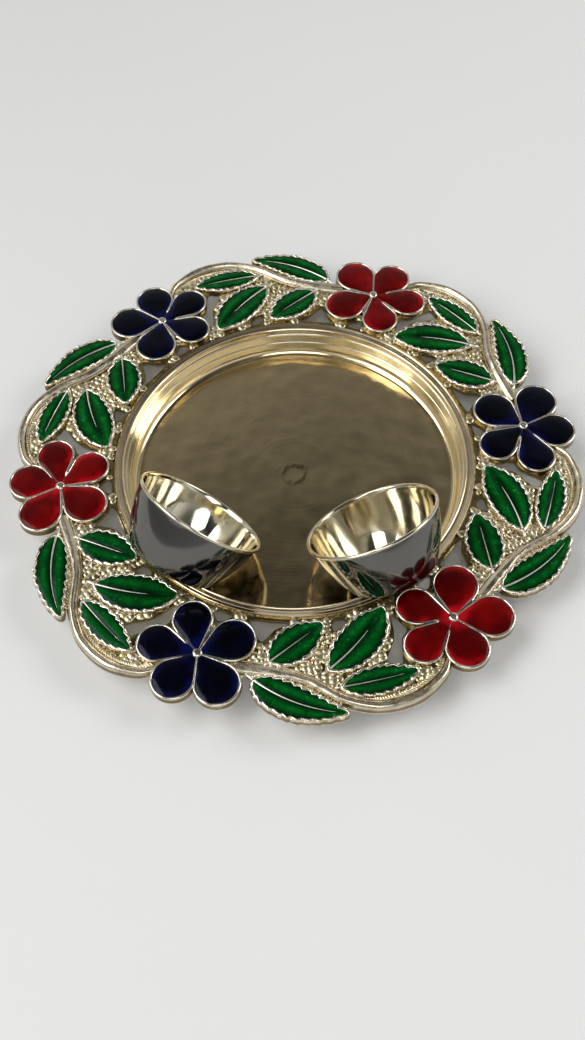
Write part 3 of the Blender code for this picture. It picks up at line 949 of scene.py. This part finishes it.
def dishPiece():
    foot = dish["lipRadius"] - dish["wallLean"]
    floorEdge = foot - dish["coveWidth"]
    inside = [(0, 0)] + [(radius, 0) for radius in range(1, int(floorEdge), 2)]
    depth, lip, sheet = dish["depth"], dish["lipRadius"], dish["sheet"]
    coveWidth, coveHeight, steps = dish["coveWidth"], dish["coveHeight"], dish["coveSteps"]
    inside += arcPlaces((floorEdge, coveHeight), (coveWidth, coveHeight), -90, 0, steps)
    for beadHeight, beadRadius in dish["beads"]:
        bead = arcPlaces((0, beadHeight), (beadRadius * 0.95, beadRadius), -90, 90, dish["beadSteps"])
        inside += [(dishWallRadius(height) - out, height) for out, height in bead]
    inside += [(lip + out, depth + level) for out, level in dish["rim"]]
    inside += [(lip + dish["rimWidth"] + out, depth + level) for out, level in dish["edge"]]
    outside = [
        (lip + sheet + 0.3, depth - sheet), (lip + sheet * 0.9, depth - sheet - 0.35),
        (foot + sheet, coveHeight),
    ]
    outside += arcPlaces((floorEdge, coveHeight), (coveWidth + sheet, coveHeight + sheet), 0, -90, steps)[1:]
    profile = [(radius, height + sheet) for radius, height in inside + outside + [(0, -sheet)]]
    return spunFrom("spunDish", profile, dish["spinSteps"], 35)


dishBody = dishPiece()
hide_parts("dish")


# Bowls: two spun cups that lie tipped in the dish
bowls = {
    "rimRadius": 24.06,
    "height": 21.55,
    "footRadius": 16.4,
    "sheet": 0.8,
    "roll": 0.68,
    "footRounding": 1.2,
    "fullness": 1.64,
    "sideSteps": 26,
    "spinSteps": 128,
    # the tilt from level and the direction that it tips towards
    "lean": {"left": (51.2, 43.1), "right": (38.1, 123.1)},
}


def bowlSide(share):
    radius = bowls["rimRadius"] - bowls["roll"]
    fullness = bowls["fullness"]
    deepest = (1 - (bowls["footRadius"] / radius) ** fullness) ** (1 / fullness)
    depth = deepest * (1 - share)
    return radius * (1 - depth ** fullness) ** (1 / fullness), bowls["height"] * share


# one cup's profile spun upright, then tipped and set down where the frame's bowl lies
def bowlPiece(side):
    rounding = bowls["footRounding"]
    footRadius = bowlSide(0)[0]
    first, height = bowlSide(0.12)
    slope = math.atan2(height, first - footRadius)
    start = footRadius - rounding * math.tan(slope / 2)
    profile = [(0, 0.35), (start - 4.5, 0.3), (start - 3.6, 0.05), (start - 2.6, 0)]
    profile += arcPlaces((start, rounding), (rounding, rounding), -90, math.degrees(slope) - 90, 5)
    profile += [bowlSide(step / bowls["sideSteps"]) for step in range(3, bowls["sideSteps"])]
    roll = bowls["roll"]
    crest = bowls["height"] - roll
    profile += arcPlaces((bowls["rimRadius"] - roll, crest), (roll, roll), -70, 165, 10)
    for step in range(bowls["sideSteps"] - 2, 1, -1):
        radius, height = bowlSide(step / bowls["sideSteps"])
        profile.append((radius - bowls["sheet"], height))
    profile += [(footRadius - 1.0, 1.05), (footRadius - 2.2, bowls["sheet"] + 0.02), (0, bowls["sheet"])]
    piece = spunFrom("cup" + side.title(), profile, bowls["spinSteps"], 50)

    # 1 on the lining and the roll, 0 on the outside
    def liningAt(spot):
        half = bowls["sheet"] / 2
        within = spot.xy.length < bowlSide(spot.z / bowls["height"])[0] - half and spot.z > half + 0.05
        return 1.0 if within or spot.z > crest - roll * 0.8 else 0.0

    markCorners(piece, "cupInside", liningAt)
    tilt, towards = (radians(value) for value in bowls["lean"][side])
    piece.data.transform(Matrix.Rotation(towards, 4, "Z") @ Matrix.Rotation(tilt, 4, "Y"))
    low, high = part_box("bowl_" + side)
    xs, ys, zs = zip(*[vertex.co for vertex in piece.data.vertices])
    centre = Vector((min(xs) + max(xs), min(ys) + max(ys), min(zs) + max(zs))) / 2
    piece.data.transform(Matrix.Translation((Vector(low) + Vector(high)) / 2 - centre))
    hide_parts("bowl_" + side)
    return piece


cups = {side: bowlPiece(side) for side in ("left", "right")}
print("stage: dish and bowls spun")


# Finishes

def startMaterial(name):
    made = bpy.data.materials.new(name)
    made.use_nodes = True
    return made, made.node_tree, made.node_tree.nodes["Principled BSDF"]


def setSockets(node, values):
    for name, value in values.items():
        node.inputs[name].default_value = value


# a socket knows the node tree that it belongs to
def link(start, end):
    start.id_data.links.new(start, end)


def objectPlace(tree):
    return tree.nodes.new("ShaderNodeTexCoord").outputs["Object"]


def noiseOf(tree, scale, detail=3.0, roughness=0.55, source=None):
    clouds = tree.nodes.new("ShaderNodeTexNoise")
    setSockets(clouds, {"Scale": scale, "Detail": detail, "Roughness": roughness})
    link(source or objectPlace(tree), clouds.inputs["Vector"])
    return clouds.outputs["Fac"]


def rangeOf(value, low, high, outLow=0.0, outHigh=1.0):
    span = value.id_data.nodes.new("ShaderNodeMapRange")
    setSockets(span, {"From Min": low, "From Max": high, "To Min": outLow, "To Max": outHigh})
    link(value, span.inputs["Value"])
    return span.outputs["Result"]


# noise between two of its values, turned into patches between two others
def patchesOf(tree, texture, low=0.35, high=0.7, outLow=0.0, outHigh=1.0):
    return rangeOf(noiseOf(tree, *texture), low, high, outLow, outHigh)


def sumOf(operation, first, second=0.0):
    sums = first.id_data.nodes.new("ShaderNodeMath")
    sums.operation = operation
    for socket, value in zip(sums.inputs, (first, second)):
        if isinstance(value, (int, float)):
            socket.default_value = value
        else:
            link(value, socket)
    return sums.outputs["Value"]


def times(first, second):
    return sumOf("MULTIPLY", first, second)


def colourBetween(share, first, second):
    mix = share.id_data.nodes.new("ShaderNodeMix")
    mix.data_type = "RGBA"
    sockets = [socket for socket in mix.inputs if socket.type == "RGBA"]
    for socket, colour in zip(sockets, (first, second)):
        if isinstance(colour, tuple):
            socket.default_value = (*colour, 1)
        else:
            link(colour, socket)
    link(share, mix.inputs["Factor"])
    return [socket for socket in mix.outputs if socket.type == "RGBA"][0]


def splitPlace(tree):
    split = tree.nodes.new("ShaderNodeSeparateXYZ")
    link(objectPlace(tree), split.inputs["Vector"])
    return split.outputs


def heightOf(tree):
    return splitPlace(tree)["Z"]


# distance from the middle of the dish, for marks that run round it
def radiusOf(tree):
    place = splitPlace(tree)
    return sumOf("SQRT", sumOf("ADD", *[times(place[axis], place[axis]) for axis in "XY"]))


# a value that markCorners gave to the corners
def markOf(tree, name):
    mark = tree.nodes.new("ShaderNodeAttribute")
    mark.attribute_name = name
    return mark.outputs["Fac"]


# plugs a finish together; each bump is a noise or a socket, with its strength and its depth in millimetres
def plugIn(shader, colour, roughness, bumps, values):
    link(colour, shader.inputs["Base Color"])
    link(roughness, shader.inputs["Roughness"])
    setSockets(shader, values)
    normal = None
    for height, strength, depth in bumps:
        bump = shader.id_data.nodes.new("ShaderNodeBump")
        setSockets(bump, {"Strength": strength, "Distance": depth * mm})
        source = noiseOf(shader.id_data, *height) if isinstance(height, tuple) else height
        link(source, bump.inputs["Height"])
        if normal:
            link(normal, bump.inputs["Normal"])
        normal = bump.outputs["Normal"]
    link(normal, shader.inputs["Normal"])


# every noise below is its scale, detail and roughness
plating = {
    "body": (0.74, 0.66, 0.49),
    "tarnish": (0.40, 0.31, 0.17),
    "stainShare": 0.5,
    "footLine": 0.8,         # a painted highlight along the rolled edge at the foot reaches up to here
    "patches": (140, 4),
    "stainsAndShade": (60, 5, 0.65),
    "wear": (300, 3),
    "ripples": (520, 3, 0.5),
    "specks": (2600, 2, 0.6),
    # the colour in the hollows (tarnish and painted shade) and on the crests (painted highlight), the levels
    # between which the painted shade gives way to the painted highlight, the depth of the ripples, and the
    # least and most roughness
    "pieces": {
        "cast": ((0.41, 0.32, 0.14), (0.85, 0.80, 0.71), (11.2, 12.9), 0.2, (0.12, 0.3)),
        "petalWall": ((0.20, 0.15, 0.07), (0.88, 0.84, 0.74), (11.9, 12.9), 0.12, (0.12, 0.28)),
        "leafWall": ((0.24, 0.18, 0.08), (0.86, 0.81, 0.70), (11.3, 12.8), 0.16, (0.12, 0.3)),
        "grain": ((0.68, 0.59, 0.36), (0.95, 0.91, 0.80), (11.2, 12.9), 0.06, (0.22, 0.38)),
        "midrib": ((0.66, 0.58, 0.40), (0.95, 0.92, 0.84), (11.2, 12.3), 0.04, (0.3, 0.42)),
        "branch": ((0.21, 0.15, 0.08), (0.77, 0.68, 0.52), (11.3, 12.95), 0.1, (0.2, 0.36)),
    },
}


# pale gold over silver, with painted light by height: painted shade in the hollows and down the sides, partly
# tarnish, and a painted highlight on the crests, partly rubbed bright, and along the rolled foot edge
def platingFinish(name, hollowTarnishAndShade, crest, levels, rippleDepth, shine):
    made, tree, shader = startMaterial(name + "Plating")
    # painted shade and highlight: the colour darkens low down and lightens high up, with random patches of
    # wear
    level = rangeOf(heightOf(tree), levels[0] * mm, levels[1] * mm)
    rubbedAndLit = sumOf("ADD", level, patchesOf(tree, plating["patches"], 0.35, 0.7, -0.25, 0.25))
    ground = colourBetween(rangeOf(rubbedAndLit, 0.0, 0.6), hollowTarnishAndShade, plating["body"])
    metal = colourBetween(rangeOf(rubbedAndLit, 0.55, 1.05), ground, crest)
    stainsAndShade = times(patchesOf(tree, plating["stainsAndShade"], 0.6, 0.78), plating["stainShare"])
    # a painted highlight: the rolled foot edge gets the crest colour
    footLine = (thali["castingBase"] + plating["footLine"]) * mm
    foot = rangeOf(heightOf(tree), footLine + 0.1 * mm, footLine - 0.1 * mm)
    colour = colourBetween(foot, colourBetween(stainsAndShade, metal, plating["tarnish"]), crest)
    roughness = patchesOf(tree, plating["wear"], 0.35, 0.7, *shine)
    bumps = ((plating["ripples"], 0.8, rippleDepth), (plating["specks"], 0.25, 0.015))
    plugIn(shader, colour, roughness, bumps, {"Metallic": 1.0})
    return made


metalFinish = {name: platingFinish(name, *values) for name, values in plating["pieces"].items()}

petalGlass = {
    # the shaded, lit and glowing tones of each glass: painted light through it
    "blue": {"deep": (0.0007, 0.0007, 0.002), "lit": (0.001, 0.0013, 0.0095), "glow": (0.004, 0.006, 0.08)},
    "red": {"deep": (0.070, 0.0010, 0.0012), "lit": (0.185, 0.0022, 0.0026), "glow": (0.50, 0.006, 0.012)},
    # painted colour in the glass's reflections
    "tints": {"blue": (0.72, 0.78, 1.0, 1), "red": (1.0, 0.62, 0.60, 1)},
    "wallGlow": (0.62, 0.98),      # how near the wall the glass begins to glow, and where it glows most
    "middleGlow": (0.36, 0.16),    # the same towards the flower's middle
    "glowShare": 0.85,
    "clouds": (70, 3),
    "lightSide": (95, 2),
    "paintedGlints": (1100, 3, 0.7),
    "wear": (400, 3),
    "bumps": (((160, 2), 0.5, 0.12), ((1500, 2), 0.25, 0.02)),
    "surface": {"IOR": 1.5, "Specular IOR Level": 0.2, "Coat Weight": 0.09, "Coat Roughness": 0.03},
}


# deep glass with painted light in it: a cloud of shaded and lit tones, a painted glow by the wall and at the
# flower's middle on its lit side, and painted glints
def petalFinish(name):
    made, tree, shader = startMaterial(name + "Glass")
    colours = petalGlass[name]
    # painted light: the cloud runs between a shaded and a lit tone of the glass
    body = colourBetween(patchesOf(tree, petalGlass["clouds"], 0.42, 0.72), colours["deep"], colours["lit"])
    # a painted glow by the wall and at the middle, shown only on the lit side
    byWall = rangeOf(markOf(tree, "petalEdge"), *petalGlass["wallGlow"])
    byMiddle = rangeOf(markOf(tree, "petalReach"), *petalGlass["middleGlow"])
    lightSide = patchesOf(tree, petalGlass["lightSide"], 0.47, 0.66)
    glow = times(times(sumOf("MAXIMUM", byWall, byMiddle), lightSide), petalGlass["glowShare"])
    glass = colourBetween(glow, body, colours["glow"])
    # painted glints in the glow colour
    paintedGlints = patchesOf(tree, petalGlass["paintedGlints"], 0.66, 0.76, 0.0, 0.5)
    colour = colourBetween(paintedGlints, glass, colours["glow"])
    roughness = patchesOf(tree, petalGlass["wear"], 0.35, 0.7, 0.07, 0.18)
    surface = {**petalGlass["surface"], "Specular Tint": petalGlass["tints"][name]}
    plugIn(shader, colour, roughness, petalGlass["bumps"], surface)
    return made


leafGlass = {
    # the painted shade, the body colour and the painted glint colour of the green
    "deep": (0.0004, 0.0145, 0.0024),
    "body": (0.001, 0.12, 0.013),
    "lit": (0.03, 0.66, 0.16),
    "lobe": 0.48,            # where the middle of each lobe lies, from the midrib to the wall, which gets the painted highlight
    "tip": (0.72, 1.0),      # where the tip begins to lighten
    "clouds": (260, 4, 0.6),
    "paintedGlints": (900, 3, 0.7),
    "wear": (500, 3),
    "bumps": (((320, 3), 0.6, 0.14), ((1800, 2), 0.3, 0.03)),
    # the specular tint paints green into the glass's reflections
    "surface": {"IOR": 1.5, "Specular IOR Level": 0.2, "Coat Weight": 0.03, "Coat Roughness": 0.04,
                "Specular Tint": (0.42, 1.0, 0.72, 1)},
}


# clear green glass over chased metal, with painted light: a painted highlight along each lobe's middle,
# painted shade by the walls and the midrib, lighter towards the tip, and painted glints
def leafFinish():
    made, tree, shader = startMaterial("greenGlass")
    aside = sumOf("ABSOLUTE", markOf(tree, "leafAcross"))
    # a painted highlight along each lobe's middle, and painted shade by the walls and beside the midrib
    lobe = rangeOf(sumOf("ABSOLUTE", sumOf("SUBTRACT", aside, leafGlass["lobe"])), 0.34, 0.04)
    cloud = patchesOf(tree, leafGlass["clouds"], 0.36, 0.66)
    body = times(lobe, rangeOf(cloud, 0.0, 1.0, 0.35, 1.0))
    tip = rangeOf(markOf(tree, "leafAlong"), *leafGlass["tip"], 0.0, 0.7)
    glow = sumOf("MAXIMUM", body, times(tip, cloud))
    green = colourBetween(glow, leafGlass["deep"], leafGlass["body"])
    # painted glints in the lit colour, brighter where the glass is painted lighter
    paintedGlints = times(patchesOf(tree, leafGlass["paintedGlints"], 0.61, 0.74), rangeOf(glow, 0.1, 0.9, 0.15, 0.62))
    colour = colourBetween(paintedGlints, green, leafGlass["lit"])
    roughness = patchesOf(tree, leafGlass["wear"], 0.35, 0.7, 0.08, 0.22)
    plugIn(shader, colour, roughness, leafGlass["bumps"], leafGlass["surface"])
    return made


glassFinish = {"blue": petalFinish("blue"), "red": petalFinish("red"), "green": leafFinish()}

brass = {
    "floor": (0.90, 0.72, 0.41),
    "wall": (0.87, 0.82, 0.67),
    "rim": (0.87, 0.73, 0.49),
    "shade": (0.62, 0.50, 0.27),
    "mark": (0.34, 0.25, 0.11),
    "wallLevels": (0.0012, 0.005),   # where the floor's colour ends and the wall's begins
    "rimBelow": 0.7,         # the rim's colour is full this far below its edge
    "rimDull": 0.05,
    "navel": (0.0029, 0.0056),       # where the lathe's mark in the middle begins and ends
    "navelWear": 0.0009,
    "navelNoises": ((300, 2), (190, 2)),
    "stainsAndShade": (34, 6, 0.62),
    "dust": (1300, 2, 0.5),
    "wiping": (55, 5, 0.7),
    "rings": {"Scale": 900, "Detail": 4},
    "bumps": (((42, 2), 1.0, 0.45), ((230, 3), 0.5, 0.05)),
}


# spun brass: fine rings from the lathe, faint wiping marks and shallow dents
def brassFinish():
    made, tree, shader = startMaterial("spunBrass")
    radius = radiusOf(tree)
    rings = tree.nodes.new("ShaderNodeTexNoise")
    rings.noise_dimensions = "1D"
    setSockets(rings, brass["rings"])
    link(radius, rings.inputs["W"])
    low, high = brass["wallLevels"]
    metal = colourBetween(rangeOf(heightOf(tree), low, high), brass["floor"], brass["wall"])
    rimLevel = (dish["depth"] + dish["sheet"] - brass["rimBelow"]) * mm
    rimSpan = (rimLevel - 0.4 * mm, rimLevel)
    metal = colourBetween(rangeOf(heightOf(tree), *rimSpan), metal, brass["rim"])
    # painted shade: dark patches of the shade colour over the brass, standing in for dark reflections
    metal = colourBetween(patchesOf(tree, brass["stainsAndShade"], 0.5, 0.72, 0.0, 0.5), metal, brass["shade"])
    # the mark that the lathe's centre left: a broken dark ring, a little sunk
    inner, outer = brass["navel"]
    edges, gaps = brass["navelNoises"]
    worn = sumOf("ADD", radius, patchesOf(tree, edges, 0.3, 0.7, -brass["navelWear"], brass["navelWear"]))
    across = sumOf("ABSOLUTE", sumOf("SUBTRACT", worn, (inner + outer) / 2))
    ring = rangeOf(across, (outer - inner) / 2, 0.0002)
    broken = times(ring, patchesOf(tree, gaps, 0.36, 0.58, 0.15, 0.9))
    metal = colourBetween(broken, metal, brass["mark"])
    dust = patchesOf(tree, brass["dust"], 0.72, 0.78, 0.0, 0.5)
    colour = colourBetween(times(dust, rangeOf(heightOf(tree), high, low)), metal, brass["rim"])
    wiped = patchesOf(tree, brass["wiping"], 0.35, 0.7, 0.08, 0.22)
    roughness = sumOf("ADD", wiped, rangeOf(heightOf(tree), *rimSpan, 0.0, brass["rimDull"]))
    bumps = ((broken, 0.5, 0.06), *brass["bumps"], (rings.outputs["Fac"], 0.35, 0.03))
    plugIn(shader, colour, roughness, bumps, {"Metallic": 1.0})
    return made


chrome = {
    # painted reflection: the outside gets a dark colour for the dark surroundings it reflects
    "outside": (0.152, 0.149, 0.142),
    "inside": (0.74, 0.71, 0.61),
    "blush": (0.70, 0.62, 0.43),
    "patches": (45, 4, 0.6),
    "wear": (120, 4, 0.65),
    "bumps": (((60, 2), 0.8, 0.18), ((500, 3), 0.4, 0.02)),
}


# bright plating on the cups, golden in patches inside, and painted dark outside as a painted reflection of
# dark surroundings
def cupFinish():
    made, tree, shader = startMaterial("cupPlating")
    patches = patchesOf(tree, chrome["patches"], 0.35, 0.68)
    inside = colourBetween(patches, chrome["inside"], chrome["blush"])
    colour = colourBetween(markOf(tree, "cupInside"), chrome["outside"], inside)
    roughness = patchesOf(tree, chrome["wear"], 0.35, 0.7, 0.05, 0.17)
    plugIn(shader, colour, roughness, chrome["bumps"], {"Metallic": 1.0})
    return made


def dress(piece, finish, body="thali"):
    piece.data.materials.clear()
    piece.data.materials.append(finish)
    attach(piece, body)


for piece, finish in casting:
    dress(piece, metalFinish[finish])
    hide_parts("border_frame")
for colour, pieces in glassPieces.items():
    for piece in pieces:
        dress(piece, glassFinish[colour])
dress(dishBody, brassFinish())
platedCup = cupFinish()
for side, cup in cups.items():
    dress(cup, platedCup, side + "_bowl")
print("stage: finishes on")


# Studio: a pale floor that sweeps up far away, soft lamps and an even sky that is darker overhead
studio = {
    "floorColour": (0.80, 0.80, 0.79),
    "floorShade": 0.97,
    "floorRadius": 2600,
    "sweepRadius": 1500,
    "skyLow": (0.78, 0.78, 0.77),
    "skyShade": (0.26, 0.26, 0.26),
    "skyHigh": (0.10, 0.10, 0.098),
    "skyTop": (0.185, 0.185, 0.18),
    "skyStrip": (0.035, 0.035, 0.034),
    "stripLevels": ((0.785, 0.885), (0.94, 0.985)),   # where the dark strip overhead sets in and ends
    "overheadLevels": (0.35, 0.75),  # between these the low sky turns into the one overhead
    "skyPatches": (2.1, 0.5, 0.5),
    "sun": (166, 55, 0.95, 36),      # azimuth, elevation, strength, how wide it looks in degrees
    "sunDistance": 1500,
    "lamps": (
        # name, azimuth, elevation, distance, size, watts
        ("softLeft", 205, 42, 1100, 520, 3.6),
        ("softRight", 12, 40, 1200, 520, 4.0),
        ("softFront", -95, 60, 1200, 480, 2.1),
    ),
}


def studioFloor():
    flat, sweep = studio["floorRadius"], studio["sweepRadius"]
    clearSelection()
    bpy.ops.mesh.primitive_circle_add(vertices=96, radius=flat * mm, fill_type="NGON")
    floor = nameIt(bpy.context.object, "studioFloor")
    editAll()
    bpy.ops.mesh.select_mode(type="EDGE")
    for step in range(1, 10):
        turn = pi / 2 * step / 9
        before = pi / 2 * (step - 1) / 9
        grow = (flat + sweep * sin(turn)) / (flat + sweep * sin(before))
        lift = sweep * (cos(before) - cos(turn)) * mm
        if step == 1:
            bpy.ops.mesh.region_to_loop()
        bpy.ops.mesh.extrude_edges_move(TRANSFORM_OT_translate={"value": (0, 0, lift)})
        bpy.ops.transform.resize(value=(grow, grow, 1), center_override=(0, 0, 0))
    bpy.ops.object.mode_set(mode="OBJECT")
    bpy.ops.object.shade_smooth_by_angle(angle=radians(40))
    made, tree, shader = startMaterial("studioPaper")
    colour = studio["floorColour"]
    tone = patchesOf(tree, (3, 2), 0.3, 0.7)
    shade = tuple(value * studio["floorShade"] for value in colour)
    link(colourBetween(tone, shade, colour), shader.inputs["Base Color"])
    setSockets(shader, {"Roughness": 0.9, "Specular IOR Level": 0.1})
    floor.data.materials.append(made)


# a lamp that looks at the thali from an azimuth, an elevation and a distance
def addLamp(kind, name, azimuth, elevation, distance, strength):
    clearSelection()
    flat = polar(distance * cos(radians(elevation)), azimuth)
    place = Vector((flat.x, flat.y, distance * sin(radians(elevation)))) * mm
    bpy.ops.object.light_add(type=kind, location=place)
    lamp = nameIt(bpy.context.object, name)
    lamp.rotation_mode = "QUATERNION"
    lamp.rotation_quaternion = (-place).to_track_quat("-Z", "Y")
    lamp.data.energy = strength
    return lamp.data


def studioLamps():
    azimuth, elevation, strength, width = studio["sun"]
    addLamp("SUN", "softSun", azimuth, elevation, studio["sunDistance"], strength).angle = radians(width)
    for name, azimuth, elevation, distance, size, watts in studio["lamps"]:
        lamp = addLamp("AREA", name, azimuth, elevation, distance, watts)
        lamp.shape = "SQUARE"
        lamp.size = size * mm


def studioSky():
    sky = bpy.data.worlds.new("studioSky")
    bpy.context.scene.world = sky
    sky.use_nodes = True
    tree = sky.node_tree
    background = tree.nodes["Background"]
    split = tree.nodes.new("ShaderNodeSeparateXYZ")
    direction = tree.nodes.new("ShaderNodeTexCoord").outputs["Generated"]
    link(direction, split.inputs["Vector"])
    level = split.outputs["Z"]
    patches = patchesOf(tree, (*studio["skyPatches"], direction), 0.4, 0.6)
    low = colourBetween(patches, studio["skyShade"], studio["skyLow"])
    high = colourBetween(patches, studio["skyHigh"], studio["skyTop"])
    (stripStart, stripFull), (stripFades, stripEnd) = studio["stripLevels"]
    strip = times(rangeOf(level, stripStart, stripFull), rangeOf(level, stripEnd, stripFades))
    overhead = colourBetween(strip, high, studio["skyStrip"])
    colour = colourBetween(rangeOf(level, *studio["overheadLevels"]), low, overhead)
    link(colour, background.inputs["Color"])


studioFloor()
studioLamps()
studioSky()

# Camera: the picture's viewing angle, worked out from the dish's rim, seen from the lip's middle
shot = {
    "unit": 0.635,           # millimetres in one unit of the three lengths below
    "focal": 1107.5,
    "imageHeight": 1040,
    "elevation": 57.29,
    "roll": -2.79,
    "distance": 649.7,
    "offAcross": -2.92,
    "offUp": -36.82,
}


def placeCamera():
    elevation, roll = radians(shot["elevation"]), radians(shot["roll"])
    forward = Vector((0, cos(elevation), -sin(elevation)))
    level = Vector((1, 0, 0))
    up = level.cross(forward)
    rolledRight = level * cos(roll) + up * sin(roll)
    rolledUp = up * cos(roll) - level * sin(roll)
    place = level * shot["offAcross"] + up * shot["offUp"] - forward * shot["distance"]
    place = place * shot["unit"] * mm + Vector((0, 0, thali["lipTop"] * mm))
    clearSelection()
    bpy.ops.object.camera_add(location=place)
    camera = nameIt(bpy.context.object, "camera")
    facing = Matrix((rolledRight, rolledUp, -forward)).transposed()
    camera.rotation_euler = facing.to_euler()
    camera.data.sensor_fit = "AUTO"
    camera.data.sensor_width = 36
    camera.data.lens = 36 * shot["focal"] / shot["imageHeight"]
    camera.data.clip_start = 0.01
    bpy.context.scene.camera = camera


placeCamera()
bpy.context.scene.view_settings.view_transform = "Standard"
print("stage: studio set")

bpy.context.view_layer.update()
clearSelection()
